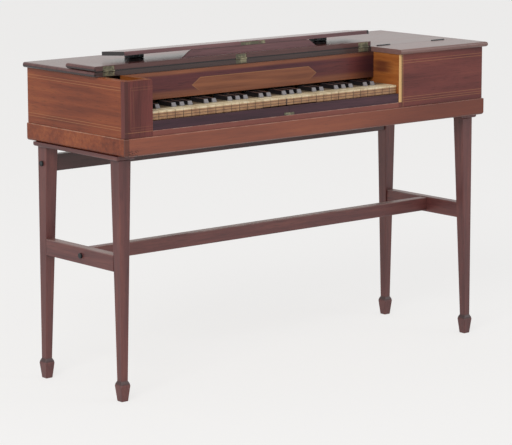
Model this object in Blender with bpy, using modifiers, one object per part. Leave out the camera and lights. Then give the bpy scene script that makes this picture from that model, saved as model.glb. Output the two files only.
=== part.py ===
"""Table piano: a shallow keyboard case with a folding lid, on a stand of four tapered legs.

Metres, +Z up. Inside the script a place is measured from the case's left end, from its front plane
and from the floor. The finished part stands with the middle of its foot box at the world's origin.
"""

import math

import bmesh
import bpy
from mathutils import Matrix, Vector

# Clearance between pieces that touch
FIT = 0.0003

# Case
CASE_WIDTH = 1.100
CASE_DEPTH = 0.370
CASE_TOP = 0.725
WALL = 0.018
BACK_THICK = 0.014
PANEL_THICK = 0.014
BASE_TOP = 0.5974
BASE_BOTTOM = 0.557
BASE_PROUD = 0.0037
BASE_TOP_ROUND = 0.0015
BASE_FOOT_ROUND = 0.006
BOTTOM_THICK = 0.010
LEFT_BLOCK = 0.077
BLOCK_ROUND = 0.004
FRONT_RAIL_TOP = 0.610
FRONT_RAIL_DEPTH = 0.016

# Keywell
KEYWELL_LEFT = 0.0775
NATURAL_PITCH = 0.0232
NATURAL_COUNT = 32
LEFT_CHEEK_THICK = 0.015
RIGHT_CHEEK_THICK = 0.010
NAMEBOARD_FACE = 0.090
NAMEBOARD_THICK = 0.008
NAMEBOARD_FOOT = 0.664
SLIP_FACE = 0.001
SLIP_BACK = 0.0074
SLIP_TOP = 0.6312

# Keys
KEY_GAP = 0.0008
KEY_FRONT = 0.009
KEY_REAR = 0.330
KEY_TOP = 0.651
KEY_FOOT = 0.633
SHARP_WIDTH = 0.0112
SHARP_FRONT = 0.041
SHARP_REAR = 0.096
SHARP_TOP = 0.661
SHARP_SLOPE_RUN = 0.005
SHARP_SLOPE_RISE = 0.008
SHARP_LEVER_TOP = 0.649
SHARP_CLEAR = 0.0006
NOTCH_CLEAR = 0.0016
BALANCE = 0.150
SHARPS_AFTER = (0, 1, 3, 4, 5, 7, 8, 10, 11, 12, 14, 15, 17, 18, 19, 21, 22, 24, 25, 26, 28, 29)
FIRST_PLAYED = 14
PLAYED_NATURALS = 7

# Key frame
FRAME_FRONT = 0.020
FRAME_BED_THICK = 0.010
RAIL_DEPTH = 0.020
FRONT_BAR_FRONT = 0.024
FRONT_BAR_TOP = 0.6253
BEARING_WIDTH = 0.005
BEARING_HEIGHT = 0.004
BACK_BAR_INSET = 0.004
KEY_SINK = 0.001

# Inside
SOUNDBOARD_FOOT = 0.655
SOUNDBOARD_THICK = 0.004
WREST_WIDTH = 0.070
WREST_HEIGHT = 0.030
BRIDGE_PLACE = 0.905
BRIDGE_THICK = 0.010
BRIDGE_HEIGHT = 0.012
BRIDGE_INSET = 0.035
BRIDGE_BOW = 0.030
BRIDGE_STEPS = 12
HITCH_FOOT = 0.690
HITCH_THICK = 0.016
HITCH_DEPTH = 0.050
HAMMER_RAIL_FRONT = 0.250
HAMMER_RAIL_DEPTH = 0.020
HAMMER_RAIL_FOOT = 0.668
HAMMER_RAIL_THICK = 0.010

# Lid
LID_THICK = 0.012
LID_OVERHANG = 0.010
LID_REAR_OVERHANG = 0.003
NOSE_ROUND = 0.005
NOSE_STEPS = 3
FOLD_LINE = 0.0972
FLAP_SPLIT = 0.8175
SPLIT_GAP = 0.001
KNUCKLE_RADIUS = 0.002
KNUCKLE_CLEAR = 0.0006
KNUCKLE_SIDES = 12
LEAF_THICK = 0.0012
LEAF_CLEAR = 0.0001
FLAP_HINGE_WIDTH = 0.032
FLAP_HINGE_PLACES = {"left": 0.030, "middle": 0.411, "right": 0.793}
SIDE_HINGE_WIDTH = 0.042
SIDE_HINGE_PLACES = {"left": 0.859, "right": 1.042}
LID_AXIS_BACK = 0.006
LID_KNUCKLE_RADIUS = 0.0025
LID_HINGE_WIDTH = 0.060
LID_HINGE_PLACES = {"left": 0.180, "right": 0.920}
LID_LEAF_HEIGHT = 0.025
LID_LEAF_THICK = 0.0015

# Lockboard, folded over the flap
LOCKBOARD_THICK = 0.009
LOCKBOARD_TILT = math.radians(4.5)
LOCKBOARD_SIDE_CLEAR = 0.0007
LOCKBOARD_BACK = 0.0074
LOCKBOARD_LAND = 0.0005
LOCKBOARD_EDGE_ROUND = 0.002
BLOCK_HEIGHT = 0.0107
BLOCK_WIDTH = 0.040
BLOCK_DEPTH = 0.020
BLOCK_AHEAD = 0.007
BLOCK_PLACES = {"left": 0.171, "right": 0.728}
LEDGE_LEFT = 0.241
LEDGE_RIGHT = 0.655
LEDGE_OGEE = 0.033
LEDGE_FRONT = 0.107
LEDGE_THICK = 0.003
OGEE_STEPS = 8
STRIKE_LEFT = 0.416
STRIKE_RIGHT = 0.490
STRIKE_THICK = 0.001
STRIKE_SLOT_WIDTH = 0.008
STRIKE_SLOT_HEIGHT = 0.003
LOCK_PLACE = 0.474
LOCK_WIDTH = 0.030
LOCK_UPRIGHT_HEIGHT = 0.006
LOCK_UPRIGHT_THICK = 0.0006

# Stand
CAP_THICK = 0.010
CAP_PROUD = 0.006
CAP_WIDTH = 0.050
CAP_END_PROUD = 0.004
CAP_ROUND = 0.004
LEG_TOP_SIDE = 0.033
LEG_ANKLE_SIDE = 0.0178
LEG_INSET = 0.0036
LEG_FRONT = 0.028
LEG_REAR = 0.0312
ANKLE_HEIGHT = 0.047
SPADE_HEIGHT = 0.036
SPADE_SIDE = 0.0258
SPADE_SHOULDER = 0.041
SPADE_FOOT_SIDE = 0.018
STRETCHER_FOOT = 0.294
STRETCHER_HEIGHT = 0.038
STRETCHER_THICK = 0.022
CENTRE_STRETCHER_FRONT = 0.165
CENTRE_STRETCHER_DEPTH = 0.022
CENTRE_STRETCHER_HEIGHT = 0.032
CENTRE_STRETCHER_DROP = 0.002
REAR_RAIL_FOOT = 0.488
REAR_RAIL_HEIGHT = 0.038
REAR_RAIL_THICK = 0.022
ARRIS = 0.001
BOLT_HEAD_RADIUS = 0.006
BOLT_HEAD_THICK = 0.004
BOLT_SIDES = 16

# What follows from the sizes above
LID_FOOT = CASE_TOP + FIT
LID_TOP = LID_FOOT + LID_THICK
FOLD_HEIGHT = LID_TOP + FIT / 2
FLAP_LENGTH = FOLD_LINE - FIT + LID_OVERHANG
LID_FRONT = FOLD_LINE + FIT
LID_REAR = CASE_DEPTH + LID_REAR_OVERHANG
LID_AXIS = CASE_DEPTH + LID_AXIS_BACK
REAR_REACH = LID_AXIS + LID_KNUCKLE_RADIUS
FLAP_FOOT = LID_TOP + FIT
FLAP_TOP = FLAP_FOOT + LID_THICK
KEYWELL_RIGHT = KEYWELL_LEFT + NATURAL_COUNT * NATURAL_PITCH + FIT
RIGHT_PANEL_LEFT = KEYWELL_RIGHT + RIGHT_CHEEK_THICK + FIT
BLOCK_TOP = FLAP_TOP + FIT + BLOCK_HEIGHT
LOCKBOARD_AXIS_HEIGHT = BLOCK_TOP + FIT
LOCKBOARD_AXIS = 2 * FOLD_LINE - LOCKBOARD_BACK
LOCKBOARD_HANG = 2 * FOLD_HEIGHT - LOCKBOARD_AXIS_HEIGHT
LOCKBOARD_LENGTH = LOCKBOARD_HANG - SLIP_TOP - LOCKBOARD_LAND
LEG_HEIGHT = BASE_BOTTOM - FIT - CAP_THICK - FIT
ORIGIN = Vector((CASE_WIDTH / 2, (REAR_REACH - LID_OVERHANG) / 2, 0))

WALNUT = (0.160, 0.062, 0.036)
MAHOGANY = (0.235, 0.075, 0.030)
DARK_MAHOGANY = (0.085, 0.036, 0.036)
LIMEWOOD = (0.62, 0.46, 0.25)
SPRUCE = (0.66, 0.49, 0.28)
EBONY = (0.02, 0.018, 0.02)
BONE = (0.80, 0.69, 0.47)
BRASS = (0.60, 0.47, 0.22)
IRON = (0.05, 0.055, 0.06)


for old in list(bpy.data.objects):
    bpy.data.objects.remove(old)
piano = bpy.data.collections.new("table_piano")
cutters = bpy.data.collections.new("cutters")
bpy.context.scene.collection.children.link(piano)
bpy.context.scene.collection.children.link(cutters)


def finish(name, colour, roughness=0.4, metallic=0.0):
    """The material of one piece."""
    material = bpy.data.materials.new(name)
    material.use_nodes = True
    shader = material.node_tree.nodes["Principled BSDF"]
    shader.inputs["Base Color"].default_value = (*colour, 1)
    shader.inputs["Roughness"].default_value = roughness
    shader.inputs["Metallic"].default_value = metallic
    return material


def keep(name, bm, colour=None, roughness=0.4, metallic=0.0, pivot=None, parent=None):
    """Turn a bmesh in case coordinates into an object whose origin is at its pivot."""
    place = (Vector(pivot) if pivot else Vector((0, 0, 0))) - (ORIGIN if pivot else Vector((0, 0, 0)))
    bmesh.ops.translate(bm, verts=bm.verts, vec=-ORIGIN - place)
    bmesh.ops.recalc_face_normals(bm, faces=bm.faces)
    mesh = bpy.data.meshes.new(name)
    bm.to_mesh(mesh)
    bm.free()
    thing = bpy.data.objects.new(name, mesh)
    if parent:
        thing.parent = parent
    else:
        thing.location = place
    if colour:
        piano.objects.link(thing)
        mesh.materials.append(finish(name, colour, roughness, metallic))
    else:
        cutters.objects.link(thing)
        thing.hide_render = True
        thing.display_type = "WIRE"
    return thing


def facing(normal):
    """The name of the axis that a face looks along, such as -x."""
    axis = max(range(3), key=lambda i: abs(normal[i]))
    return ("+" if normal[axis] > 0 else "-") + "xyz"[axis]


def cuboid(low, high, rounded="", radius=0.0, steps=NOSE_STEPS):
    """A squared block between two corners. Each word of rounded, such as -x+z, is an edge to round."""
    bm = bmesh.new()
    bmesh.ops.create_cube(bm, size=1)
    low, high = Vector(low), Vector(high)
    bmesh.ops.scale(bm, verts=bm.verts, vec=high - low)
    bmesh.ops.translate(bm, verts=bm.verts, vec=(low + high) / 2)
    bm.normal_update()
    chosen = [
        edge
        for edge in bm.edges
        for word in rounded.split()
        if {facing(face.normal) for face in edge.link_faces} == {word[:2], word[2:]}
    ]
    if chosen:
        bmesh.ops.bevel(
            bm, geom=chosen, offset=radius, segments=steps, affect="EDGES", profile=0.5, material=-1
        )
    return bm


LONG_X = "-y+z -y-z +y+z +y-z"
LONG_Y = "-x+z -x-z +x+z +x-z"


def outline(points, across, start, thick):
    """A flat outline drawn as a filled curve and thickened along x, y or z from its start."""
    curve = bpy.data.curves.new("outline", "CURVE")
    curve.dimensions = "2D"
    curve.fill_mode = "BOTH"
    curve.extrude = thick / 2
    spline = curve.splines.new("POLY")
    spline.points.add(len(points) - 1)
    for point, (u, v) in zip(spline.points, points):
        point.co = (u, v, 0, 1)
    spline.use_cyclic_u = True
    drawn = bpy.data.objects.new("outline", curve)
    cutters.objects.link(drawn)
    bpy.context.view_layer.update()
    mesh = bpy.data.meshes.new_from_object(drawn.evaluated_get(bpy.context.evaluated_depsgraph_get()))
    bpy.data.objects.remove(drawn)
    bm = bmesh.new()
    bm.from_mesh(mesh)
    bpy.data.meshes.remove(mesh)
    bmesh.ops.remove_doubles(bm, verts=bm.verts, dist=1e-6)
    turn = {
        "x": Matrix(((0, 0, 1), (1, 0, 0), (0, 1, 0))),
        "y": Matrix(((1, 0, 0), (0, 0, 1), (0, 1, 0))),
        "z": Matrix.Identity(3),
    }[across]
    bmesh.ops.transform(bm, verts=bm.verts, matrix=turn.to_4x4())
    middle = Vector(float(name == across) for name in "xyz") * (start + thick / 2)
    bmesh.ops.translate(bm, verts=bm.verts, vec=middle)
    return bm


def rod(centre, radius, length, sides):
    """A round rod along x, with its middle at the centre."""
    bm = bmesh.new()
    bmesh.ops.create_cone(
        bm, cap_ends=True, segments=sides, radius1=radius, radius2=radius, depth=length
    )
    bmesh.ops.rotate(bm, verts=bm.verts, matrix=Matrix.Rotation(math.pi / 2, 3, "Y"))
    bmesh.ops.translate(bm, verts=bm.verts, vec=Vector(centre))
    return bm


def loft(sections):
    """A square post through sections given as height, side, and centre x and y, from the top down."""
    bm = bmesh.new()
    bmesh.ops.create_circle(bm, cap_ends=True, radius=math.sqrt(0.5), segments=4)
    bmesh.ops.rotate(bm, verts=bm.verts, matrix=Matrix.Rotation(math.pi / 4, 3, "Z"))
    corners = {vert: Vector((round(vert.co.x, 6), round(vert.co.y, 6), 0)) for vert in bm.verts}
    face = bm.faces[:][0]

    def put(verts, section):
        height, side, x, y = section
        for vert in verts:
            vert.co = Vector((x, y, height)) + corners[vert] * side

    put(list(bm.verts), sections[0])
    previous = sections[0]
    for section in sections[1:]:
        made = bmesh.ops.extrude_face_region(bm, geom=[face])["geom"]
        if previous is not sections[0] and face.is_valid:
            bmesh.ops.delete(bm, geom=[face], context="FACES_ONLY")
        face = next(item for item in made if isinstance(item, bmesh.types.BMFace))
        for vert in face.verts:
            reach = (vert.co - Vector((previous[2], previous[3], previous[0]))) / previous[1]
            corners[vert] = Vector((reach.x, reach.y, 0))
        put(face.verts, section)
        previous = section
    return bm


def boolean(target, other, operation):
    """Cut the other shape out of the target, or join it on."""
    modifier = target.modifiers.new(operation.lower(), "BOOLEAN")
    modifier.operation = operation
    modifier.object = other


def axis_empty(name, y, z, tilt=0.0):
    """An empty on a joint's axis, which runs along x."""
    empty = bpy.data.objects.new(name, None)
    empty.location = Vector((ORIGIN.x, y, z)) - ORIGIN
    empty.rotation_euler.x = tilt
    piano.objects.link(empty)
    return empty


# Stand: four tapered legs with spade feet, joined in pairs by a cap rail and a side stretcher

def build_stand():
    ends = {"left": 1, "right": -1}
    rows = {"front": (LEG_FRONT, 1), "rear": (CASE_DEPTH - LEG_REAR, -1)}
    mirror = {"left": lambda x: x, "right": lambda x: CASE_WIDTH - x}
    for end, way in ends.items():
        for row, (face, back) in rows.items():
            def centre(side):
                return mirror[end](LEG_INSET + side / 2), face + back * side / 2

            ankle = centre(LEG_ANKLE_SIDE)
            sections = [
                (LEG_HEIGHT, LEG_TOP_SIDE, *centre(LEG_TOP_SIDE)),
                (ANKLE_HEIGHT, LEG_ANKLE_SIDE, *ankle),
                (SPADE_SHOULDER, SPADE_SIDE - 2 * ARRIS, *ankle),
                (SPADE_HEIGHT, SPADE_SIDE, *ankle),
                (0, SPADE_FOOT_SIDE, *ankle),
            ]
            leg = keep(f"leg_{row}_{end}", loft(sections), WALNUT)
            arris = leg.modifiers.new("arris", "BEVEL")
            arris.width = ARRIS
            arris.segments = 1
            arris.limit_method = "ANGLE"
            arris.angle_limit = math.radians(60)

        # A side stretcher lies flush with the outer faces of its legs and is tenoned between them
        level = STRETCHER_FOOT + STRETCHER_HEIGHT / 2
        drop = (LEG_HEIGHT - level) / (LEG_HEIGHT - ANKLE_HEIGHT)
        leg_side = LEG_TOP_SIDE + (LEG_ANKLE_SIDE - LEG_TOP_SIDE) * drop
        slack = FIT + (LEG_TOP_SIDE - LEG_ANKLE_SIDE) / (LEG_HEIGHT - ANKLE_HEIGHT) * STRETCHER_HEIGHT / 2
        near = LEG_FRONT + leg_side + slack
        far = CASE_DEPTH - LEG_REAR - leg_side - slack
        outer, inner = mirror[end](LEG_INSET), mirror[end](LEG_INSET + STRETCHER_THICK)
        low = (min(outer, inner), near, STRETCHER_FOOT)
        high = (max(outer, inner), far, STRETCHER_FOOT + STRETCHER_HEIGHT)
        keep(f"side_stretcher_{end}", cuboid(low, high, LONG_Y, ARRIS, 1), WALNUT)

        # The cap rail joins the tops of two legs and carries the case
        outer, inner = mirror[end](-CAP_PROUD), mirror[end](CAP_WIDTH - CAP_PROUD)
        low = (min(outer, inner), LEG_FRONT - CAP_END_PROUD, LEG_HEIGHT + FIT)
        high = (max(outer, inner), CASE_DEPTH - LEG_REAR + CAP_END_PROUD, BASE_BOTTOM - FIT)
        edge = "-x-z -y-z +y-z" if end == "left" else "+x-z -y-z +y-z"
        keep(f"cap_rail_{end}", cuboid(low, high, edge, CAP_ROUND), WALNUT)

        # Bed bolts: one through the rear leg into the rear rail, one through the stretcher
        rail_level = REAR_RAIL_FOOT + REAR_RAIL_HEIGHT / 2
        face = mirror[end](LEG_INSET - FIT - BOLT_HEAD_THICK / 2)
        rear_place = (face, CASE_DEPTH - LEG_REAR - LEG_TOP_SIDE / 2, rail_level)
        middle = CENTRE_STRETCHER_FRONT + CENTRE_STRETCHER_DEPTH / 2
        for name, place in (("leg", rear_place), ("stretcher", (face, middle, level))):
            bolt = rod(place, BOLT_HEAD_RADIUS, BOLT_HEAD_THICK, BOLT_SIDES)
            keep(f"bed_bolt_{name}_{end}", bolt, IRON, 0.5, 0.8)

    reach = LEG_INSET + STRETCHER_THICK + FIT
    top = STRETCHER_FOOT + STRETCHER_HEIGHT - CENTRE_STRETCHER_DROP
    low = (reach, CENTRE_STRETCHER_FRONT, top - CENTRE_STRETCHER_HEIGHT)
    high = (CASE_WIDTH - reach, CENTRE_STRETCHER_FRONT + CENTRE_STRETCHER_DEPTH, top)
    keep("centre_stretcher", cuboid(low, high, LONG_X, ARRIS, 1), WALNUT)

    reach = LEG_INSET + LEG_TOP_SIDE + FIT
    middle = CASE_DEPTH - LEG_REAR - LEG_TOP_SIDE / 2
    low = (reach, middle - REAR_RAIL_THICK / 2, REAR_RAIL_FOOT)
    high = (CASE_WIDTH - reach, middle + REAR_RAIL_THICK / 2, REAR_RAIL_FOOT + REAR_RAIL_HEIGHT)
    keep("rear_rail", cuboid(low, high, LONG_X, ARRIS, 1), WALNUT)


# Base moulding: one mitred run round the left end, the front and the right end

def moulding_profile():
    """The moulding's section as reach outwards from the case's face, and height."""
    points = [(-WALL, BASE_BOTTOM), (-WALL, BASE_TOP), (0, BASE_TOP)]
    for centre_drop, radius, first in (
        (BASE_TOP - BASE_TOP_ROUND, BASE_TOP_ROUND, 90),
        (BASE_BOTTOM + BASE_FOOT_ROUND, BASE_FOOT_ROUND, 0),
    ):
        for step in range(NOSE_STEPS + 1):
            angle = math.radians(first - 90 * step / NOSE_STEPS)
            reach = BASE_PROUD - radius + radius * math.cos(angle)
            points.append((reach, centre_drop + radius * math.sin(angle)))
    return points


def build_base():
    profile = moulding_profile()
    stations = (
        ((0, CASE_DEPTH), (-1, 0)),
        ((0, 0), (-1, -1)),
        ((CASE_WIDTH, 0), (1, -1)),
        ((CASE_WIDTH, CASE_DEPTH), (1, 0)),
    )
    bm = bmesh.new()
    rings = [
        [bm.verts.new((x + dx * reach, y + dy * reach, height)) for reach, height in profile]
        for (x, y), (dx, dy) in stations
    ]
    for ring in (rings[0], rings[-1]):
        bm.faces.new(ring)
    for first, second in zip(rings, rings[1:]):
        edges = [bm.edges.get(pair) or bm.edges.new(pair) for pair in zip(first, first[1:] + first[:1])]
        edges += [bm.edges.get(pair) or bm.edges.new(pair) for pair in zip(second, second[1:] + second[:1])]
        bmesh.ops.bridge_loops(bm, edges=edges)
    keep("base_moulding", bm, MAHOGANY)


# Case: boards standing on the base moulding, open above the keys

def build_case():
    build_base()
    inside = WALL + FIT
    low = (inside, inside, BASE_BOTTOM)
    high = (CASE_WIDTH - inside, CASE_DEPTH - BACK_THICK - FIT, BASE_BOTTOM + BOTTOM_THICK)
    keep("bottom_board", cuboid(low, high), SPRUCE, 0.7)
    foot = BASE_TOP + FIT
    near = PANEL_THICK + FIT
    keep("side_left", cuboid((0, near, foot), (WALL, CASE_DEPTH, CASE_TOP), "-x+z", ARRIS, 1), MAHOGANY)
    low, high = (CASE_WIDTH - WALL, near, foot), (CASE_WIDTH, CASE_DEPTH, CASE_TOP)
    keep("side_right", cuboid(low, high, "+x+z", ARRIS, 1), MAHOGANY)
    low = (inside, CASE_DEPTH - BACK_THICK, BASE_BOTTOM)
    keep("back_board", cuboid(low, (CASE_WIDTH - inside, CASE_DEPTH, CASE_TOP)), SPRUCE, 0.7)
    panel = cuboid((0, 0, foot), (LEFT_BLOCK, PANEL_THICK, CASE_TOP), "+x+z", BLOCK_ROUND)
    keep("front_panel_left", panel, MAHOGANY)
    panel = cuboid((RIGHT_PANEL_LEFT, 0, foot), (CASE_WIDTH, PANEL_THICK, CASE_TOP))
    keep("front_panel_right", panel, MAHOGANY)
    low, high = (LEFT_BLOCK + FIT, 0, foot), (KEYWELL_RIGHT - FIT, FRONT_RAIL_DEPTH, FRONT_RAIL_TOP)
    keep("front_rail", cuboid(low, high, "-y+z", ARRIS, 2), MAHOGANY)

    # The left cheek closes the well beside the open compartment, the right one also holds the soundboard
    low = (LEFT_BLOCK - LEFT_CHEEK_THICK, near, foot)
    keep("cheek_left", cuboid(low, (LEFT_BLOCK, NAMEBOARD_FACE + NAMEBOARD_THICK, CASE_TOP)), MAHOGANY)
    low = (KEYWELL_RIGHT, 0, foot)
    high = (KEYWELL_RIGHT + RIGHT_CHEEK_THICK, CASE_DEPTH - BACK_THICK - FIT, CASE_TOP)
    keep("cheek_right", cuboid(low, high), MAHOGANY)
    low = (LEFT_BLOCK + FIT, NAMEBOARD_FACE, NAMEBOARD_FOOT)
    high = (KEYWELL_RIGHT - FIT, NAMEBOARD_FACE + NAMEBOARD_THICK, CASE_TOP)
    keep("nameboard", cuboid(low, high), MAHOGANY)
    low = (LEFT_BLOCK + FIT, SLIP_FACE, FRONT_RAIL_TOP + FIT)
    keep("key_slip", cuboid(low, (KEYWELL_RIGHT - FIT, SLIP_BACK, SLIP_TOP)), DARK_MAHOGANY)

    # The lock's catch: a brass angle at the foot of the key slip
    foot = FRONT_RAIL_TOP + FIT
    left, right = LOCK_PLACE - LOCK_WIDTH / 2, LOCK_PLACE + LOCK_WIDTH / 2
    high = (right, SLIP_FACE - FIT, foot + LOCK_UPRIGHT_HEIGHT)
    keep("lock_catch", cuboid((left, SLIP_FACE - FIT - LOCK_UPRIGHT_THICK, foot), high), BRASS, 0.4, 0.9)


# Keyboard: a bed with three bars, on which every key lies and rocks about the balance bar

def natural(index, sink=0.0):
    """One natural's lever in plan, notched for the sharps beside it."""
    left = KEYWELL_LEFT + NATURAL_PITCH * index
    right = left + NATURAL_PITCH
    waist = SHARP_WIDTH / 2 + SHARP_CLEAR
    notch = SHARP_FRONT - NOTCH_CLEAR
    tail_left = left + (waist if index - 1 in SHARPS_AFTER else KEY_GAP / 2)
    tail_right = right - (waist if index in SHARPS_AFTER else KEY_GAP / 2)
    left, right = left + KEY_GAP / 2, right - KEY_GAP / 2
    points = [(left, KEY_FRONT), (right, KEY_FRONT)]
    if tail_right < right:
        points += [(right, notch), (tail_right, notch)]
    points += [(tail_right, KEY_REAR), (tail_left, KEY_REAR)]
    if tail_left > left:
        points += [(tail_left, notch), (left, notch)]
    return outline(points, "z", KEY_FOOT - sink, KEY_TOP - KEY_FOOT + sink)


def sharp(index, sink=0.0):
    """The sharp after the natural of this index, from its sloping tip to the end of its lever."""
    middle = KEYWELL_LEFT + NATURAL_PITCH * (index + 1)
    points = [
        (SHARP_FRONT, KEY_FOOT - sink),
        (KEY_REAR, KEY_FOOT - sink),
        (KEY_REAR, SHARP_LEVER_TOP),
        (SHARP_REAR, SHARP_LEVER_TOP),
        (SHARP_REAR, SHARP_TOP),
        (SHARP_FRONT + SHARP_SLOPE_RUN, SHARP_TOP),
        (SHARP_FRONT, SHARP_TOP - SHARP_SLOPE_RISE),
    ]
    return outline(points, "x", middle - SHARP_WIDTH / 2, SHARP_WIDTH)


def merged(shapes):
    """Several separate shapes in one bmesh."""
    whole = bmesh.new()
    for shape in shapes:
        mesh = bpy.data.meshes.new("shape")
        shape.to_mesh(mesh)
        shape.free()
        whole.from_mesh(mesh)
        bpy.data.meshes.remove(mesh)
    return whole


def build_keyboard():
    played = range(FIRST_PLAYED, FIRST_PLAYED + PLAYED_NATURALS)
    axis = axis_empty("key_axis", BALANCE, KEY_FOOT)
    pivot = (ORIGIN.x, BALANCE, KEY_FOOT)
    for index in played:
        key = natural(index)
        keep(f"natural_{index + 1:02d}", key, BONE, 0.35, pivot=pivot, parent=axis)
        if index in SHARPS_AFTER:
            keep(f"sharp_{index + 1:02d}", sharp(index), EBONY, 0.3, pivot=pivot, parent=axis)

    # Bed and bars, the still keys seated in the bars that carry them
    left, right = KEYWELL_LEFT, KEYWELL_RIGHT - FIT
    bed = BASE_BOTTOM + BOTTOM_THICK + FIT
    bed_top = bed + FRAME_BED_THICK
    rear = KEY_REAR - BACK_BAR_INSET
    frame = keep("key_frame", cuboid((left, FRAME_FRONT, bed), (right, rear, bed_top)), LIMEWOOD, 0.6)
    bar_foot = bed_top - FRAME_BED_THICK / 2
    half_bar, half_bearing = RAIL_DEPTH / 2, BEARING_WIDTH / 2
    bearing = [
        (BALANCE - half_bar, bar_foot),
        (BALANCE + half_bar, bar_foot),
        (BALANCE + half_bar, KEY_FOOT - FIT - BEARING_HEIGHT),
        (BALANCE + half_bearing, KEY_FOOT - FIT - BEARING_HEIGHT),
        (BALANCE + half_bearing, KEY_FOOT - FIT),
        (BALANCE - half_bearing, KEY_FOOT - FIT),
        (BALANCE - half_bearing, KEY_FOOT - FIT - BEARING_HEIGHT),
        (BALANCE - half_bar, KEY_FOOT - FIT - BEARING_HEIGHT),
    ]
    front_bar = cuboid(
        (left, FRONT_BAR_FRONT, bar_foot), (right, FRONT_BAR_FRONT + RAIL_DEPTH, FRONT_BAR_TOP)
    )
    back_bar = cuboid((left, rear - RAIL_DEPTH, bar_foot), (right, rear, KEY_FOOT - FIT))
    bars = merged([front_bar, outline(bearing, "x", left, right - left), back_bar])
    boolean(frame, keep("key_bars", bars), "UNION")
    still = [natural(index, KEY_SINK) for index in range(NATURAL_COUNT) if index not in played]
    still += [sharp(index, KEY_SINK) for index in SHARPS_AFTER if index not in played]
    boolean(frame, keep("still_keys", merged(still)), "UNION")


# Inside: what sounds, behind and beside the keys

def build_inside():
    left = RIGHT_PANEL_LEFT
    right = CASE_WIDTH - WALL - FIT
    near, far = PANEL_THICK + FIT, CASE_DEPTH - BACK_THICK - FIT
    top = SOUNDBOARD_FOOT + SOUNDBOARD_THICK
    keep("soundboard", cuboid((left, near, SOUNDBOARD_FOOT), (right, far, top)), SPRUCE, 0.6)
    low = (right - WREST_WIDTH, near, top + FIT)
    keep("wrest_plank", cuboid(low, (right, far, top + FIT + WREST_HEIGHT), "-x+z", ARRIS, 1), LIMEWOOD)
    low = (WALL + FIT, far - HITCH_DEPTH, HITCH_FOOT)
    high = (KEYWELL_RIGHT - FIT, far, HITCH_FOOT + HITCH_THICK)
    keep("hitch_plank", cuboid(low, high, "-y+z", ARRIS, 1), LIMEWOOD)
    low = (WALL + FIT, HAMMER_RAIL_FRONT, HAMMER_RAIL_FOOT)
    high = (
        KEYWELL_RIGHT - FIT,
        HAMMER_RAIL_FRONT + HAMMER_RAIL_DEPTH,
        HAMMER_RAIL_FOOT + HAMMER_RAIL_THICK,
    )
    keep("hammer_rail", cuboid(low, high), LIMEWOOD)

    def bow(step):
        return BRIDGE_PLACE + BRIDGE_BOW * math.sin(math.pi * step / BRIDGE_STEPS)

    def along(step):
        return near + BRIDGE_INSET + (far - near - 2 * BRIDGE_INSET) * step / BRIDGE_STEPS

    steps = range(BRIDGE_STEPS + 1)
    points = [(bow(step), along(step)) for step in steps]
    points += [(bow(step) + BRIDGE_THICK, along(step)) for step in reversed(steps)]
    keep("bridge", outline(points, "z", top + FIT, BRIDGE_HEIGHT), LIMEWOOD)


# Lid: a main board hinged at the back, a flap over the keys and a flap beside it

def hinge_cut(place, width, above, axis=None):
    """The room for one fold hinge, on the main lid's side or above it on the folded flap's."""
    reach = KNUCKLE_RADIUS + KNUCKLE_CLEAR
    left, right = place - width / 2 - LEAF_CLEAR, place + width / 2 + LEAF_CLEAR
    away = LID_THICK if above else -LID_THICK
    levels = sorted((FOLD_HEIGHT - reach if above else FOLD_HEIGHT + reach, FOLD_HEIGHT + away * 2))
    pocket = cuboid(
        (left, FOLD_LINE - reach, levels[0]), (right, LID_FRONT + LEAF_THICK + LEAF_CLEAR, levels[1])
    )
    knuckle = cuboid((left, FOLD_LINE - reach, FOLD_HEIGHT - reach), (right, FOLD_LINE + reach, FOLD_HEIGHT + reach))
    cut = keep("hinge_pocket", pocket)
    boolean(cut, keep("hinge_knuckle_room", knuckle), "UNION")
    if axis:
        for piece in cutters.objects[-2:]:
            piece.parent = axis
            piece.matrix_parent_inverse = axis.matrix_basis.inverted()
    return cut


def fold_hinge(name, place, width):
    """A butt hinge at the fold: its knuckle, and the leaf let into the main lid's front edge."""
    half = width / 2
    leaf = cuboid(
        (place - half, LID_FRONT, LID_FOOT + ARRIS), (place + half, LID_FRONT + LEAF_THICK, FOLD_HEIGHT)
    )
    hinge = keep(name, leaf, BRASS, 0.4, 0.9)
    barrel = rod((place, FOLD_LINE, FOLD_HEIGHT), KNUCKLE_RADIUS, width, KNUCKLE_SIDES)
    boolean(hinge, keep("barrel", barrel), "UNION")


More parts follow.
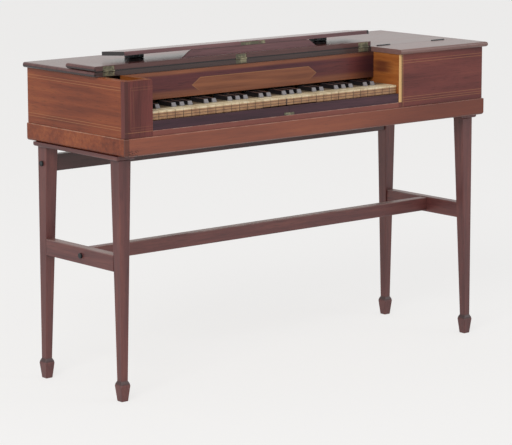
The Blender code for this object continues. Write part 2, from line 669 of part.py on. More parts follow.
def build_lid():
    left, right = -LID_OVERHANG, CASE_WIDTH + LID_OVERHANG
    nose = "-x+z -x-z +x+z +x-z"
    lid_axis = (ORIGIN.x, LID_AXIS, CASE_TOP)
    main = cuboid((left, LID_FRONT, LID_FOOT), (right, LID_REAR, LID_TOP), nose, NOSE_ROUND)
    main_lid = keep("main_lid", main, MAHOGANY, pivot=lid_axis)

    # The folded flap lies on the main lid, its front edge to the back
    fold = (ORIGIN.x, FOLD_LINE, FOLD_HEIGHT)
    low = (left, LID_FRONT, FLAP_FOOT)
    high = (FLAP_SPLIT - SPLIT_GAP / 2, LID_FRONT + FLAP_LENGTH, FLAP_TOP)
    board = cuboid(low, high, "-x+z -x-z +y+z +y-z", NOSE_ROUND)
    flap = keep("keyboard_flap", board, MAHOGANY, pivot=fold)
    low = (FLAP_SPLIT + SPLIT_GAP / 2, FOLD_LINE - FIT - FLAP_LENGTH, LID_FOOT)
    board = cuboid(low, (right, FOLD_LINE - FIT, LID_TOP), "+x+z +x-z -y+z -y-z", NOSE_ROUND)
    right_flap = keep("right_flap", board, MAHOGANY, pivot=fold)

    for side, place in FLAP_HINGE_PLACES.items():
        boolean(main_lid, hinge_cut(place, FLAP_HINGE_WIDTH, False), "DIFFERENCE")
        boolean(flap, hinge_cut(place, FLAP_HINGE_WIDTH, True), "DIFFERENCE")
        fold_hinge(f"flap_hinge_{side}", place, FLAP_HINGE_WIDTH)
    for side, place in SIDE_HINGE_PLACES.items():
        boolean(main_lid, hinge_cut(place, SIDE_HINGE_WIDTH, False), "DIFFERENCE")
        reach = KNUCKLE_RADIUS + KNUCKLE_CLEAR
        half = SIDE_HINGE_WIDTH / 2 + LEAF_CLEAR
        room = cuboid(
            (place - half, FOLD_LINE - reach, FOLD_HEIGHT - reach),
            (place + half, FOLD_LINE + reach, FOLD_HEIGHT + reach),
        )
        boolean(right_flap, keep("side_hinge_room", room), "DIFFERENCE")
        fold_hinge(f"right_flap_hinge_{side}", place, SIDE_HINGE_WIDTH)

    # Rear hinges: a leaf on the back board and the knuckle behind the lid's rear edge
    for side, place in LID_HINGE_PLACES.items():
        half = LID_HINGE_WIDTH / 2
        face = CASE_DEPTH + FIT
        top = CASE_TOP - FIT
        low = (place - half, face, top - LID_LEAF_HEIGHT)
        hinge = keep(f"lid_hinge_{side}", cuboid(low, (place + half, face + LID_LEAF_THICK, top)), BRASS, 0.4, 0.9)
        low = (place - half, face, top - LID_KNUCKLE_RADIUS)
        web = keep("hinge_web", cuboid(low, (place + half, LID_AXIS, top)))
        boolean(hinge, web, "UNION")
        barrel = rod((place, LID_AXIS, CASE_TOP), LID_KNUCKLE_RADIUS, LID_HINGE_WIDTH, KNUCKLE_SIDES)
        boolean(hinge, keep("lid_barrel", barrel), "UNION")


# Lockboard: folded over the flap on two hinge blocks, its free edge on the music ledge

def build_lockboard():
    for side, place in BLOCK_PLACES.items():
        low = (place - BLOCK_WIDTH / 2, LOCKBOARD_AXIS - BLOCK_AHEAD, FLAP_TOP + FIT)
        high = (place + BLOCK_WIDTH / 2, LOCKBOARD_AXIS - BLOCK_AHEAD + BLOCK_DEPTH, BLOCK_TOP)
        keep(f"lockboard_hinge_{side}", cuboid(low, high, LONG_X, ARRIS, 1), IRON, 0.35, 0.6)

    tilted = axis_empty("lockboard_axis", LOCKBOARD_AXIS, LOCKBOARD_AXIS_HEIGHT, -LOCKBOARD_TILT)
    pivot = (ORIGIN.x, LOCKBOARD_AXIS, LOCKBOARD_AXIS_HEIGHT)
    left = LEFT_BLOCK + FIT + LOCKBOARD_SIDE_CLEAR
    right = FLAP_SPLIT - SPLIT_GAP / 2
    free = LOCKBOARD_AXIS - LOCKBOARD_LENGTH
    foot, top = LOCKBOARD_AXIS_HEIGHT, LOCKBOARD_AXIS_HEIGHT + LOCKBOARD_THICK
    board = cuboid((left, free, foot), (right, LOCKBOARD_AXIS, top), "-y+z", LOCKBOARD_EDGE_ROUND, 2)
    lockboard = keep("lockboard", board, MAHOGANY, pivot=pivot, parent=tilted)
    room = STRIKE_THICK + LEAF_CLEAR
    inset = LOCKBOARD_EDGE_ROUND
    low = (STRIKE_LEFT - LEAF_CLEAR, free - STRIKE_THICK, foot - STRIKE_THICK)
    high = (STRIKE_RIGHT + LEAF_CLEAR, free + room, top - inset)
    boolean(lockboard, keep("strike_room", cuboid(low, high), pivot=pivot, parent=tilted), "DIFFERENCE")
    low, high = (STRIKE_LEFT, free, foot), (STRIKE_RIGHT, free + STRIKE_THICK, top - inset - LEAF_CLEAR)
    plate = keep("strike_plate", cuboid(low, high), BRASS, 0.4, 0.9, pivot=pivot, parent=tilted)
    middle = (foot + top - inset) / 2
    low = (LOCK_PLACE - STRIKE_SLOT_WIDTH / 2, free - STRIKE_THICK, middle - STRIKE_SLOT_HEIGHT / 2)
    high = (LOCK_PLACE + STRIKE_SLOT_WIDTH / 2, free + 2 * STRIKE_THICK, middle + STRIKE_SLOT_HEIGHT / 2)
    boolean(plate, keep("strike_slot", cuboid(low, high), pivot=pivot, parent=tilted), "DIFFERENCE")

    # Music ledge: a thin board with ogee ends, upright on the flap's inner face
    under = LOCKBOARD_AXIS_HEIGHT + (LOCKBOARD_AXIS - LEDGE_FRONT - LEDGE_THICK) * math.tan(LOCKBOARD_TILT)
    low_line = FLAP_TOP + FIT
    rise = under - FIT - low_line
    ogee = [
        (LEDGE_OGEE * t, rise * (3 * t * t - 2 * t * t * t))
        for t in (step / OGEE_STEPS for step in range(OGEE_STEPS + 1))
    ]
    points = [(LEDGE_LEFT + run, low_line + up) for run, up in ogee]
    points += [(LEDGE_RIGHT - run, low_line + up) for run, up in reversed(ogee)]
    keep("music_ledge", outline(points, "y", LEDGE_FRONT, LEDGE_THICK), MAHOGANY)


build_stand()
build_case()
build_keyboard()
build_inside()
build_lid()
build_lockboard()
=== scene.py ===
import math

import bmesh
import bpy
from mathutils import Matrix, Vector


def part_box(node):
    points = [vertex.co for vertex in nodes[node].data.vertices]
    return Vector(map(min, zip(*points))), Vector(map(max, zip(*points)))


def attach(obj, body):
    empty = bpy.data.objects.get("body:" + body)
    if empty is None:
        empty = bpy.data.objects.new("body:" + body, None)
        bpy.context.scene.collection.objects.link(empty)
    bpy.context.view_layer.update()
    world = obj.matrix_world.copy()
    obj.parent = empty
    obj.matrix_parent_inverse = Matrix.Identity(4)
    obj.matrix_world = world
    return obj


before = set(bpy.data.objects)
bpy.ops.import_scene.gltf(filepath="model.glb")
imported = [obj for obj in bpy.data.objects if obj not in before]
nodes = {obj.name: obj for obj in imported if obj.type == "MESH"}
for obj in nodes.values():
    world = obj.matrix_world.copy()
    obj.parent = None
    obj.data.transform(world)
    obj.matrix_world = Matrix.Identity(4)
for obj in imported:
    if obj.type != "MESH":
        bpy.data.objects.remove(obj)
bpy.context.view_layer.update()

# The camera stands in front of the bass end, a little above the lid, and looks down by ten degrees.
# Its long lens keeps the edges of the case nearly parallel.
camera_place = Vector((-3.734, -4.435, 1.3612))
camera_turn = math.radians(-39.92)
camera_dip = math.radians(10.14)
camera_roll = math.radians(-0.15)
camera_data = bpy.data.cameras.new("camera")
camera_data.lens = 172.2
camera_data.sensor_width = 36
camera_data.clip_end = 200
camera = bpy.data.objects.new("camera", camera_data)
bpy.context.scene.collection.objects.link(camera)
camera.matrix_world = (
    Matrix.Translation(camera_place)
    @ Matrix.Rotation(camera_turn, 4, "Z")
    @ Matrix.Rotation(math.pi / 2 - camera_dip, 4, "X")
    @ Matrix.Rotation(camera_roll, 4, "Z")
)
bpy.context.scene.camera = camera
bpy.context.scene.view_settings.view_transform = "Standard"


# Two wide square lamps: a warm one in front to the left, and a weaker, cooler one to the right.
# They leave only faint shadows on the floor.
def lamp(name, place, watts, colour):
    """A square lamp that faces the middle of the piano."""
    data = bpy.data.lights.new(name, "AREA")
    data.size = 3.0
    data.energy = watts
    data.color = colour
    thing = bpy.data.objects.new(name, data)
    bpy.context.scene.collection.objects.link(thing)
    middle = Vector((0, 0, 0.5))
    thing.location = place
    thing.rotation_euler = (middle - Vector(place)).to_track_quat("-Z", "Y").to_euler()


lamp("window_left", (-5.2, -3.4, 4.4), 250, (1.0, 0.98, 0.95))
lamp("fill_right", (4.5, -5.0, 3.0), 60, (0.95, 0.97, 1.0))


# The room and its floor are pale and run on without an edge. What the camera and the polish see is
# brighter and more even than what lights the piano.
class Wire:
    """One socket of a material. Sums, products and comparisons of wires add Math nodes."""

    def __init__(self, paint, socket):
        self.paint = paint
        self.socket = socket

    def math(self, operation, *others):
        return self.paint.node("ShaderNodeMath", {"operation": operation}, [self, *others])

    def __add__(self, other):
        return self.math("ADD", other)

    __radd__ = __add__

    def __sub__(self, other):
        return self.math("SUBTRACT", other)

    def __rsub__(self, other):
        return self.paint.node("ShaderNodeMath", {"operation": "SUBTRACT"}, [other, self])

    def __mul__(self, other):
        return self.math("MULTIPLY", other)

    __rmul__ = __mul__

    def __lt__(self, other):
        return self.math("LESS_THAN", other)

    def __gt__(self, other):
        return self.math("GREATER_THAN", other)

    def __or__(self, other):
        """The greater of two masks, which covers what either of them covers."""
        return self.math("MAXIMUM", other)

    def away(self, centre):
        """The distance from a centre."""
        return (self - centre).math("ABSOLUTE")

    def band(self, centre, half):
        """1 where the value lies within half of the centre, else 0."""
        return self.away(centre) < half

    def between(self, low, high):
        """1 from low to high, else 0."""
        return self.band((low + high) / 2, (high - low) / 2)

    def soft(self, low, high):
        """A smooth climb from 0 at low to 1 at high."""
        settings = {"interpolation_type": "SMOOTHSTEP"}
        return self.paint.node("ShaderNodeMapRange", settings, {"Value": self, 1: low, 2: high})


class Paint:
    """A material in the making, on the object's own coordinates."""

    def __init__(self, owner):
        self.owner = owner
        owner.use_nodes = True
        self.tree = owner.node_tree

    def node(self, kind, settings, sockets, output=0):
        """Add a node: its settings first, then the values or wires of its sockets."""
        made = self.tree.nodes.new(kind)
        for key, value in settings.items():
            if key == "stops":
                ramp = made.color_ramp
                while len(ramp.elements) < len(value):
                    ramp.elements.new(1)
                for element, (place, colour) in zip(ramp.elements, value):
                    element.position = place
                    element.color = (*colour, 1)
            else:
                setattr(made, key, value)
        for key, value in sockets.items() if isinstance(sockets, dict) else enumerate(sockets):
            self.feed(made.inputs[key], value)
        return Wire(self, made.outputs[output])

    def feed(self, socket, value):
        if isinstance(value, Wire):
            self.tree.links.new(value.socket, socket)
        elif isinstance(value, tuple) and len(value) == 3 and socket.type == "RGBA":
            socket.default_value = (*value, 1)
        else:
            socket.default_value = value

    def place(self):
        return self.node("ShaderNodeTexCoord", {}, [], "Object")

    def noise(self, vector, stretch, scale, detail=4.0, rough=0.55, bend=0.0):
        drawn = self.node("ShaderNodeVectorMath", {"operation": "MULTIPLY"}, [vector, stretch])
        sockets = {"Vector": drawn, "Scale": scale, "Detail": detail, "Roughness": rough, "Distortion": bend}
        return self.node("ShaderNodeTexNoise", {}, sockets)

    def ramp(self, value, *stops):
        return self.node("ShaderNodeValToRGB", {"stops": stops}, [value])

    def mix(self, factor, first, second):
        return self.node("ShaderNodeMix", {"data_type": "RGBA"}, {0: factor, 6: first, 7: second}, 2)

    def bump(self, height, strength, distance):
        return self.node("ShaderNodeBump", {}, {"Height": height, "Strength": strength, "Distance": distance})

    def close(self, **sockets):
        """Feed the shader's sockets, whose names have a _ for each space, and return the material."""
        shader = self.tree.nodes["Principled BSDF"]
        for name, value in sockets.items():
            self.feed(shader.inputs[name.replace("_", " ")], value)
        return self.owner


def light_and_show(paint, lit, seen, share, output):
    """Light the piano with one shader, and mix in another by a share for the camera and for mirrors."""
    kinds = ("Camera", "Glossy", "Transmission")
    camera_ray, glossy_ray, clear_ray = (
        paint.node("ShaderNodeLightPath", {}, [], f"Is {kind} Ray") for kind in kinds
    )
    direct = (camera_ray | glossy_ray | clear_ray) * share
    mixed = paint.node("ShaderNodeMixShader", {}, [direct, lit, seen])
    paint.tree.links.new(mixed.socket, paint.tree.nodes[output].inputs["Surface"])


world = bpy.data.worlds.new("room")
bpy.context.scene.world = world
room = Paint(world)
ambient = room.node("ShaderNodeBackground", {}, {"Color": (1.0, 1.0, 1.0), "Strength": 0.55})
backdrop = room.node("ShaderNodeBackground", {}, {"Color": (0.89, 0.87, 0.85), "Strength": 1.0})
light_and_show(room, ambient, backdrop, 1.0, "World Output")

floor_reach = 60
floor_mesh = bpy.data.meshes.new("floor")
bm = bmesh.new()
bmesh.ops.create_grid(bm, x_segments=1, y_segments=1, size=floor_reach)
bm.to_mesh(floor_mesh)
bm.free()
floor = bpy.data.objects.new("floor", floor_mesh)
bpy.context.scene.collection.objects.link(floor)
ground = Paint(bpy.data.materials.new("studio_floor"))
matt = ground.node("ShaderNodeBsdfDiffuse", {}, {"Color": (0.80, 0.80, 0.80)})
glow = ground.node("ShaderNodeEmission", {}, {"Color": (0.985, 0.975, 0.965), "Strength": 0.975})
light_and_show(ground, matt, glow, 0.75, "Material Output")
floor_mesh.materials.append(ground.owner)


# The stand is a frame of dark mahogany, made apart from the case: tapered legs on spade feet, mortised
# stretchers, a rear rail, and a moulded cap rail on each pair of legs. The grain follows each length.
def give(material, *names):
    """Give CAD pieces their finish."""
    for name in names:
        thing = nodes[name]
        if not thing.material_slots:
            thing.data.materials.append(material)
        for held in thing.material_slots:
            held.material = material


class Wood(Paint):
    """Wood with its grain along one axis: broad figure, fine streaks and short dark pores."""

    def __init__(self, name, tones, along, figure=0.45, drift=0.0):
        super().__init__(bpy.data.materials.new(name))
        dark, middle_tone, light = tones
        place = self.place()
        self.x, self.y, self.z = (
            self.node("ShaderNodeSeparateXYZ", {}, [place], axis) for axis in "XYZ"
        )
        moved = self.node("ShaderNodeVectorMath", {"operation": "ADD"}, [place, (drift, drift, drift)])
        slow = tuple(0.22 if axis == along else 1.0 for axis in "xyz")
        long_run = tuple(0.045 if axis == along else 1.0 for axis in "xyz")
        self.broad = self.noise(moved, slow, 7.0, 3.0, 0.5, 0.6)
        streak = self.noise(moved, long_run, 95.0, 6.0, 0.62, 0.25)
        self.pores = self.noise(moved, long_run, 640.0, 2.0, 0.5).soft(0.56, 0.70)
        tone = self.broad * figure + streak * (1 - figure)
        self.colour = self.ramp(tone, (0.30, dark), (0.50, middle_tone), (0.70, light))
        self.lay(self.pores * 0.45, tuple(0.35 * value for value in dark))

    def lay(self, share, colour):
        """Lay a colour over the wood where the mask is 1, or by a share."""
        self.colour = self.mix(share, self.colour, colour)

    def polish(self, rough=0.32, coat=0.10, gleam=0.25):
        """French polish, duller where it is rubbed, with the pores a little sunk."""
        return self.close(
            Base_Color=self.colour,
            Roughness=(rough - 0.06) + self.broad * 0.14,
            Normal=self.bump(self.pores * -1.0, 0.25, 0.0002),
            Specular_IOR_Level=gleam,
            Coat_Weight=coat,
            Coat_Roughness=0.12,
        )


stand_tones = ((0.050, 0.014, 0.015), (0.115, 0.034, 0.032), (0.185, 0.060, 0.048))
# The ankle colour is painted shade, and the edge colour below is a painted highlight.
ankle_crease_shade = (0.015, 0.008, 0.010)
stretcher_top_highlight = (0.42, 0.34, 0.32)
rail_shade = (0.025, 0.016, 0.018)
rail_level = 0.45
stand_pieces = {
    "z": ["leg_front_left", "leg_front_right", "leg_rear_left", "leg_rear_right"],
    "y": ["side_stretcher_left", "side_stretcher_right", "cap_rail_left", "cap_rail_right"],
    "x": ["centre_stretcher", "rear_rail"],
}
for along, names in stand_pieces.items():
    wood = Wood(f"stand_mahogany_{along}", stand_tones, along)
    if along == "z":
        # Painted shade darkens the ring where each leg meets its spade foot.
        ankle_crease = wood.z.between(0.0375, 0.0500) * (1.0 - wood.z.away(0.043).soft(0.002, 0.007))
        wood.lay(ankle_crease * 0.7, ankle_crease_shade)
    else:
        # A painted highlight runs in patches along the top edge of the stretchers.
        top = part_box("side_stretcher_left" if along == "y" else "centre_stretcher")[1].z
        highlight_patches = wood.noise(wood.place(), (1.0, 1.0, 1.0), 9.0, 2.0).soft(0.30, 0.70)
        wood.lay(wood.z.between(top - 0.0020, top + 0.0002) * highlight_patches * 0.4, stretcher_top_highlight)
    if along == "x":
        wood.lay((wood.z > rail_level) * 0.6, rail_shade)
    give(wood.polish(rough=0.40, coat=0.08, gleam=0.5), *names)


# Bed bolts of blackened iron draw the side stretchers and the rear rail to their neighbours. Their heads
# are rubbed bright in places.
def metal(name, dull, bright, rough, stain_scale=180.0):
    """Old metal: bright where it is rubbed, dull where it is stained."""
    paint = Paint(bpy.data.materials.new(name))
    stain = paint.noise(paint.place(), (1.0, 1.0, 1.0), stain_scale, 5.0, 0.6)
    rubbed = stain.soft(0.42, 0.62)
    return paint.close(
        Base_Color=paint.mix(rubbed, dull, bright),
        Metallic=0.55 + rubbed * 0.4,
        Roughness=rough + 0.2 - rubbed * 0.2,
        Normal=paint.bump(stain, 0.3, 0.0003),
    )


iron = metal("black_iron", (0.018, 0.022, 0.024), (0.07, 0.08, 0.085), 0.35)
give(iron, *[name for name in nodes if name.startswith("bed_bolt")])


# The case's two sides are boards veneered in mahogany, with the grain along them. Two pairs of pale
# strings are let in near their edges, and the top edge is paler.
case_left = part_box("side_left")[0].x
case_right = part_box("side_right")[1].x
case_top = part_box("side_left")[1].z
skin = 0.0004
string_colour = (0.46, 0.22, 0.09)
string_half = 0.0006
string_drops = (0.0155, 0.0215, 0.1040, 0.1100)
case_tones = ((0.085, 0.013, 0.004), (0.215, 0.047, 0.015), (0.340, 0.095, 0.028))


def level_strings(wood):
    """The mask of the two pairs of level strings."""
    mask = wood.z.band(case_top - string_drops[0], string_half)
    for drop in string_drops[1:]:
        mask = mask | wood.z.band(case_top - drop, string_half)
    return mask


for end in ("left", "right"):
    wood = Wood(f"side_veneer_{end}", case_tones, "y", 0.6)
    outer = wood.x < case_left + skin if end == "left" else wood.x > case_right - skin
    wood.lay(level_strings(wood) * outer * 0.45, string_colour)
    wood.lay(wood.z.soft(case_top - 0.004, case_top + 0.001) * 0.5, case_tones[2])
    give(wood.polish(), f"side_{end}")


# The left front panel is a block of upright veneer between the bass side and the keys. It has a dark
# band at the corner, a faint rectangle of strings and a paler top.
case_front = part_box("front_panel_left")[0].y
rail_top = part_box("front_rail")[1].z
front_tones = ((0.060, 0.013, 0.012), (0.145, 0.034, 0.029), (0.220, 0.058, 0.042))
dark_band = (0.050, 0.016, 0.014)
corner_band = 0.009
block_strings = (0.016, 0.025)
wood = Wood("block_veneer", front_tones, "z", 0.5)
face = wood.y < case_front + skin
inlay = level_strings(wood) * (wood.x > case_left + block_strings[0])
upright = wood.z.between(case_top - string_drops[-1], case_top - string_drops[0])
for reach in block_strings:
    inlay = inlay | (wood.x.band(case_left + reach, string_half) * upright)
wood.lay(inlay * face * 0.13, string_colour)
wood.lay(wood.z.band(rail_top, 0.0007) * face * 0.40, string_colour)
wood.lay((wood.x < case_left + corner_band) * face * 0.55, dark_band)
wood.lay((wood.z > case_top - 0.0006) * 0.6, case_tones[2])
give(wood.polish(), "front_panel_left")


# The right front panel closes the case before the tuning pins. Its veneer runs along it, with two pairs
# of pale strings and a banded left edge.
panel_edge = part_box("front_panel_right")[0].x
wood = Wood("right_panel_veneer", front_tones, "x", 0.55, 0.7)
face = wood.y < case_front + skin
wood.lay(level_strings(wood) * face * 0.4, string_colour)
wood.lay(wood.z.band(rail_top, 0.0007) * face * 0.35, string_colour)
wood.lay(wood.x.band(panel_edge + 0.0035, 0.0007) * face * 0.45, string_colour)
wood.lay((1.0 - wood.x.soft(panel_edge, panel_edge + 0.0028)) * face * 0.7, dark_band)
give(wood.polish(), "front_panel_right")


# The base moulding is planted round the front and both ends at the case's foot. Its upper edge carries a
# painted highlight, stronger in worn patches, and its corner at the bass end is chipped.
base_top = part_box("base_moulding")[1].z
base_edge_highlight_and_wear = (0.50, 0.28, 0.20)
faded_front = (0.285, 0.110, 0.080)
treble_front = (0.095, 0.022, 0.017)
base_corner = (0.045, 0.014, 0.012)
chip_dark = (0.020, 0.008, 0.008)
wood = Wood("base_mahogany", case_tones, "x", 0.5, 1.3)
edge_patches = wood.noise(wood.place(), (0.5, 0.5, 1.0), 90.0).soft(0.40, 0.60)
# Painted highlight along the upper edge, stronger in patches.
wood.lay(wood.z.soft(base_top - 0.0022, base_top - 0.0006) * (0.25 + edge_patches * 0.45), base_edge_highlight_and_wear)
wood.lay((1.0 - wood.z.soft(base_top - 0.0404, base_top - 0.032)) * 0.5, case_tones[0])
front = wood.y < case_front
wood.lay(front * 0.45, faded_front)
wood.lay(wood.x.soft(0.0, case_right - 0.1) * front * 0.55, treble_front)
wood.lay((wood.x < case_left + corner_band) * front * 0.6, base_corner)
chips = wood.noise(wood.place(), (1.0, 1.0, 1.6), 230.0, 3.0).soft(0.52, 0.60)
chipped = wood.x.between(case_left + 0.006, case_left + 0.034) * front * (wood.z < base_top - 0.026)
wood.lay(chips * chipped * 0.85, chip_dark)
give(wood.polish(), "base_moulding")


# The front rail ties the two front panels together under the keys. It is solid mahogany, faded like the
# base, with a painted highlight along its upper edge, stronger in worn patches.
wood = Wood("rail_mahogany", front_tones, "x", 0.5, 2.1)
wood.lay(0.45, (0.26, 0.09, 0.065))
edge_patches = wood.noise(wood.place(), (0.5, 0.5, 1.0), 90.0).soft(0.40, 0.60)
# Painted highlight along the upper edge, stronger in patches.
wood.lay(wood.z.soft(rail_top - 0.002, rail_top - 0.0004) * (0.15 + edge_patches * 0.5), (0.42, 0.26, 0.20))
give(wood.polish(), "front_rail")


# The back and the bottom of the case are plain spruce boards, without polish. The back is let in between
# the sides.
spruce_tones = ((0.40, 0.26, 0.12), (0.55, 0.38, 0.20), (0.66, 0.49, 0.28))
give(Wood("back_spruce", spruce_tones, "x").polish(rough=0.6, coat=0.0), "back_board", "bottom_board")


# The cheeks close the keywell's two ends. They are veneered in warm mahogany, and the right one's front
# edge is banded in pale boxwood with a dark line.
cheek_tones = ((0.20, 0.055, 0.014), (0.34, 0.11, 0.028), (0.50, 0.20, 0.055))
boxwood = (0.70, 0.43, 0.18)
edge_line = (0.10, 0.04, 0.02)
cheek_shadow = (0.085, 0.020, 0.014)
shadow_level = 0.692
shadow_depth = 0.060
cheek_middle = sum(corner.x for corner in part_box("cheek_right")) / 2
wood = Wood("cheek_veneer", cheek_tones, "y")
edge = wood.y < case_front + skin
wood.lay(edge, boxwood)
wood.lay(edge * (wood.z < rail_top), front_tones[1])
wood.lay(edge * wood.x.band(cheek_middle + 0.0028, 0.0006), edge_line)
patch = wood.z.band(shadow_level, 0.016) * (1.0 - wood.z.away(shadow_level).soft(0.010, 0.018))
patch = patch * (1.0 - wood.y.away(case_front + shadow_depth).soft(0.004, 0.052))
wood.lay(patch * 0.75, cheek_shadow)
give(wood.polish(), "cheek_left", "cheek_right")


# The nameboard stands behind the keys. It is cross-banded along its top and foot, and a long pointed
# panel with a pale edge is let into its dark field. Its treble end lies in shade.
board_low, board_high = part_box("nameboard")
field_tones = ((0.032, 0.008, 0.014), (0.080, 0.018, 0.024), (0.145, 0.036, 0.030))
panel_left, panel_right = case_left + 0.261, case_left + 0.634
panel_level = case_top - 0.0365
panel_half = 0.0155
point_run = 0.023
panel_line = 0.0012
top_band = 0.008
foot_band = 0.013
wood = Wood("nameboard_field", field_tones, "x", 0.6)
streak = wood.noise(wood.place(), (0.05, 1.0, 1.0), 110.0, 5.0)
pale = wood.ramp(streak, (0.3, (0.17, 0.055, 0.028)), (0.7, (0.31, 0.112, 0.050)))


def pointed(grown):
    """The mask of the panel's six-sided outline, grown all round."""
    up = wood.z.away(panel_level)
    out = wood.x.away((panel_left + panel_right) / 2)
    half_long = (panel_right - panel_left) / 2 + grown * 1.8
    return (up < panel_half + grown) * (out + up * (point_run / panel_half) < half_long)


wood.lay(pointed(panel_line) * 0.7, (0.40, 0.20, 0.08))
wood.lay(pointed(0.0), pale)
shade = wood.x.soft(board_high.x - 0.075, board_high.x - 0.010)
top_edge = board_high.z - top_band
foot_edge = board_low.z + foot_band
top_banding = wood.z.soft(top_edge - 0.003, top_edge + 0.003)
foot_banding = 1.0 - wood.z.soft(foot_edge - 0.006, foot_edge + 0.008)
wood.lay((top_banding | foot_banding) * 0.9, pale)
wood.lay(shade * 0.75, (0.022, 0.008, 0.012))
give(wood.polish(), "nameboard")


# The key slip closes the front under the keys. It is stained nearly black, and a dark line runs down it
# to the lock. The lock's catch is a small brass angle at its foot.
slip_tones = ((0.022, 0.008, 0.014), (0.050, 0.018, 0.028), (0.085, 0.034, 0.044))
lock_middle = sum(corner.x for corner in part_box("lock_catch")) / 2
wood = Wood("slip_stained", slip_tones, "x")
wood.lay(wood.x.band(lock_middle, 0.0009) * 0.9, (0.004, 0.003, 0.003))
give(wood.polish(rough=0.34), "key_slip")
brass = metal("old_brass", (0.10, 0.095, 0.065), (0.24, 0.22, 0.145), 0.38, 70.0)
give(brass, "lock_catch")


# The natural keys are limewood levers, plated with bone before the nameboard. Their fronts are faced in
# brown wood with two grooves under a bone lip. The grooves, the gaps between the keys and a line over the
# lock are painted shade. Towards the nameboard the bone lies in shade.
lime_tones = ((0.42, 0.28, 0.13), (0.54, 0.39, 0.20), (0.64, 0.48, 0.27))
key_low, key_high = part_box("natural_15")
sharp_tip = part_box("sharp_15")[0].y
key_pitch = 0.0232
key_gap = 0.0008
bone_thick = 0.0016
lip_height = 0.0038
groove_levels = (0.0050, 0.0110)
groove_half = 0.0008
tip_run = 0.0046
groove_shade = (0.085, 0.030, 0.014)
gap_shade = (0.030, 0.012, 0.008)
ebony = (0.010, 0.009, 0.011)
grey_ebony = (0.25, 0.235, 0.25)
wood = Wood("keys", lime_tones, "y")
stain = wood.noise(wood.place(), (1.0, 0.25, 1.0), 60.0)
bone = wood.ramp(stain, (0.30, (0.50, 0.38, 0.22)), (0.50, (0.74, 0.62, 0.40)), (0.72, (0.88, 0.79, 0.58)))
shown = wood.y < board_high.y
front = wood.y < key_low.y + skin
across = (wood.x - (key_low.x - key_gap / 2)).math("WRAP", key_pitch / 2, -key_pitch / 2)
grooves = wood.z.band(key_low.z + groove_levels[0], groove_half)
grooves = grooves | wood.z.band(key_low.z + groove_levels[1], groove_half)
facing = wood.ramp(stain, (0.3, (0.28, 0.135, 0.060)), (0.7, (0.46, 0.26, 0.125)))
# Painted shade in the two grooves, then in the gaps between the keys and over the lock.
facing = wood.mix(grooves * 0.85, facing, groove_shade)
facing = wood.mix((across.band(0.0, 0.0009) | wood.x.band(lock_middle, 0.0014)) * 0.9, facing, gap_shade)
facing = wood.mix((wood.z > key_high.z - lip_height) * 0.8, facing, bone)
wood.lay(front, facing)
# Painted shade darkens the bone along the gaps between the keys.
bone = wood.mix(across.band(0.0, 0.0006) * 0.55, bone, (0.20, 0.11, 0.05))
bone = wood.mix(wood.y.soft(sharp_tip - 0.012, sharp_tip + 0.020) * 0.88, bone, (0.060, 0.035, 0.022))
wood.lay(shown * (1.0 - front) * (wood.z > key_high.z - bone_thick), bone)
fixed_sharp = (wood.z > key_high.z + skin) * shown
wood.lay(fixed_sharp, ebony)
wood.lay(fixed_sharp * (wood.y < sharp_tip + tip_run) * 0.85, grey_ebony)
key_finish = wood.close(
    Base_Color=wood.colour, Roughness=0.38 + wood.broad * 0.1, Coat_Weight=0.1, Coat_Roughness=0.2
)
give(key_finish, "key_frame", *[name for name in nodes if name.startswith("natural_")])


# The sharps are the same levers with a block of ebony glued on before the nameboard. Its sloping front
# tip is grey.
wood = Wood("sharps", lime_tones, "y")
shown = wood.y < board_high.y
wood.lay(shown, ebony)
wood.lay(shown * (wood.y < sharp_tip + tip_run) * (wood.z > key_high.z) * 0.85, grey_ebony)
sharp_finish = wood.close(
    Base_Color=wood.colour, Roughness=0.26 + wood.broad * 0.1, Coat_Weight=0.2, Coat_Roughness=0.15
)
give(sharp_finish, *[name for name in nodes if name.startswith("sharp_")])


# Inside lie a spruce soundboard with its bridge, the planks of lime that hold the ends of the strings,
# and the hammer rail. None of them is polished but the soundboard.
give(Wood("soundboard_spruce", spruce_tones, "x").polish(rough=0.5, coat=0.1), "soundboard")
give(Wood("lime_plain", lime_tones, "y").polish(rough=0.55, coat=0.0), "wrest_plank", "bridge")
give(Wood("lime_long", lime_tones, "x").polish(rough=0.55, coat=0.0), "hitch_plank", "hammer_rail")


# The strings run straight from the hitch plank to the wrest plank, one for each key. Each is held by a
# small hitch pin and a thicker tuning pin, set in four rows.
def make(name, bm, material, body):
    """A finished piece at the origin, riding on a body."""
    bmesh.ops.recalc_face_normals(bm, faces=bm.faces)
    mesh = bpy.data.meshes.new(name)
    bm.to_mesh(mesh)
    bm.free()
    thing = bpy.data.objects.new(name, mesh)
    bpy.context.scene.collection.objects.link(thing)
    mesh.materials.append(material)
    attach(thing, body)


def peg(bm, foot, tip, radius, sides):
    """A round peg or wire between two points, added to a bmesh."""
    turn = (tip - foot).to_track_quat("Z", "Y").to_matrix().to_4x4()
    place = Matrix.Translation((foot + tip) / 2) @ turn
    length = (tip - foot).length
    bmesh.ops.create_cone(
        bm, cap_ends=True, segments=sides, radius1=radius, radius2=radius, depth=length, matrix=place
    )


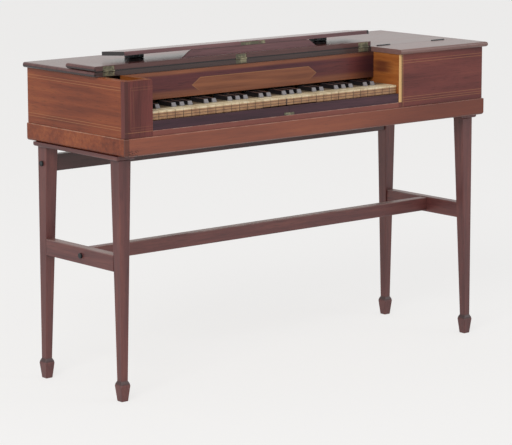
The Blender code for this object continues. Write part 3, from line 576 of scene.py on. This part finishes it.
string_count = 54
string_radius = 0.0003
hitch_pin_radius = 0.0007
tuning_pin_radius = 0.0020
tuning_rows = 4
row_pitch = 0.012
string_lift = Vector((0, 0, 0.0015))
hitch_low, hitch_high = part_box("hitch_plank")
wrest_low, wrest_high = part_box("wrest_plank")
wires, pins = bmesh.new(), bmesh.new()
for number in range(string_count):
    share = number / (string_count - 1)
    hitch = Vector((hitch_low.x + 0.030 + 0.60 * share, hitch_high.y - 0.010 - 0.025 * share, hitch_high.z))
    row = number % tuning_rows
    tune = Vector((wrest_low.x + row_pitch * (row + 1), wrest_low.y + 0.020 + 0.290 * share, wrest_high.z))
    peg(wires, hitch + string_lift, tune + string_lift, string_radius, 5)
    peg(pins, hitch - string_lift, hitch + 3 * string_lift, hitch_pin_radius, 6)
    peg(pins, tune - string_lift, tune + 9 * string_lift, tuning_pin_radius, 8)
steel = metal("string_wire", (0.30, 0.28, 0.24), (0.62, 0.58, 0.50), 0.25)
make("strings", wires, steel, "case")
make("tuning_pins", pins, iron, "case")


# The lid is three thin mahogany boards: the main lid, the flap that folds back over it, and the right
# flap. Their meeting edges are darkened with painted shade, with a painted shadow in the gap between
# them and at the foot of the left ends, and the right flap's nose carries a painted highlight.
lid_tones = ((0.050, 0.020, 0.020), (0.115, 0.046, 0.044), (0.180, 0.078, 0.070))
near_black = (0.012, 0.012, 0.013)
fold_edge_shade = (0.030, 0.030, 0.028)
nose_highlight = (0.34, 0.22, 0.19)
fold_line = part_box("main_lid")[0].y
for number, name in enumerate(("main_lid", "keyboard_flap", "right_flap")):
    low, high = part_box(name)
    wood = Wood(f"{name}_mahogany", lid_tones, "x", 0.5, 0.4 + 1.5 * number)
    if name == "right_flap":
        # Painted highlight on the right flap's nose.
        nose = (wood.y < low.y + 0.0055) | (wood.x < low.x + 0.0012)
        wood.lay(nose * 0.35, nose_highlight)
    else:
        fold_edge = wood.y < fold_line + 0.0006
        if name == "main_lid":
            shade_share = 0.65
            gap = wood.z.soft(high.z - 0.0022, high.z)
        else:
            shade_share = 0.25
            gap = 1.0 - wood.z.soft(low.z, low.z + 0.0028)
        # Painted shade on the fold edges, and a painted shadow in the gap between the main lid and the flap.
        wood.lay(fold_edge * shade_share, fold_edge_shade)
        wood.lay(gap * fold_edge, near_black)
        # Painted shadow at the foot of the left end.
        wood.lay((wood.x < low.x + 0.005) * (wood.z < low.z + 0.006) * 0.8, near_black)
    give(wood.polish(rough=0.30, coat=0.25), name)


# The lid's hinges: two brass butts at the rear, three brass ones on the fold of the keyboard flap, and
# two of black iron on the right flap's seam. Each fold hinge has its second leaf on the flap's edge.
give(brass, "lid_hinge_left", "lid_hinge_right")
give(iron, "right_flap_hinge_left", "right_flap_hinge_right")
leaf_thick = 0.0010
leaf_height = 0.0088
leaf_bevel = 0.0002
recess_depth = 0.0012
leaf_inset = 0.0001
knuckle_gap = 0.0002
screw_radius = 0.0016
screw_proud = 0.0002
for side in ("left", "middle", "right"):
    give(brass, f"flap_hinge_{side}")
    low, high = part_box(f"flap_hinge_{side}")
    face = high.y - recess_depth + leaf_inset
    level = high.z + knuckle_gap + leaf_height / 2
    bm = bmesh.new()
    bmesh.ops.create_cube(bm, size=1)
    bmesh.ops.scale(bm, verts=bm.verts, vec=(high.x - low.x, leaf_thick, leaf_height))
    bmesh.ops.translate(bm, verts=bm.verts, vec=((low.x + high.x) / 2, face + leaf_thick / 2, level))
    bmesh.ops.bevel(
        bm, geom=bm.edges[:], offset=leaf_bevel, segments=1, affect="EDGES", profile=0.5, material=-1
    )
    for share in (0.2, 0.5, 0.8):
        centre = Vector((low.x + (high.x - low.x) * share, face, level))
        head = centre - Vector((0, screw_proud, 0))
        peg(bm, head, centre + Vector((0, leaf_thick / 2, 0)), screw_radius, 12)
    make(f"flap_leaf_{side}", bm, brass, "flap")


# The lockboard is a thin mahogany board that closes the keywell when the piano is shut. Open, it lies
# over the flap on two hinge blocks and the music ledge, with its brass strike plate in front. The hinge
# blocks are given black iron, whose dark stands for brass in painted shade, and the board's ends are
# near-black.
board_tones = ((0.055, 0.022, 0.026), (0.125, 0.052, 0.058), (0.190, 0.085, 0.088))
low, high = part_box("lockboard")
wood = Wood("lockboard_mahogany", board_tones, "x", 0.5, 5.2)
# The board's ends are near-black.
wood.lay(((wood.x < low.x + 0.0016) | (wood.x > high.x - 0.006)) * 0.92, near_black)
give(wood.polish(rough=0.30, coat=0.4), "lockboard")
give(Wood("ledge_mahogany", board_tones, "x", 0.5, 6.1).polish(rough=0.30, coat=0.4), "music_ledge")
give(brass, "strike_plate")
# Black iron on the hinge blocks stands for their brass in painted shade.
give(iron, "lockboard_hinge_left", "lockboard_hinge_right")
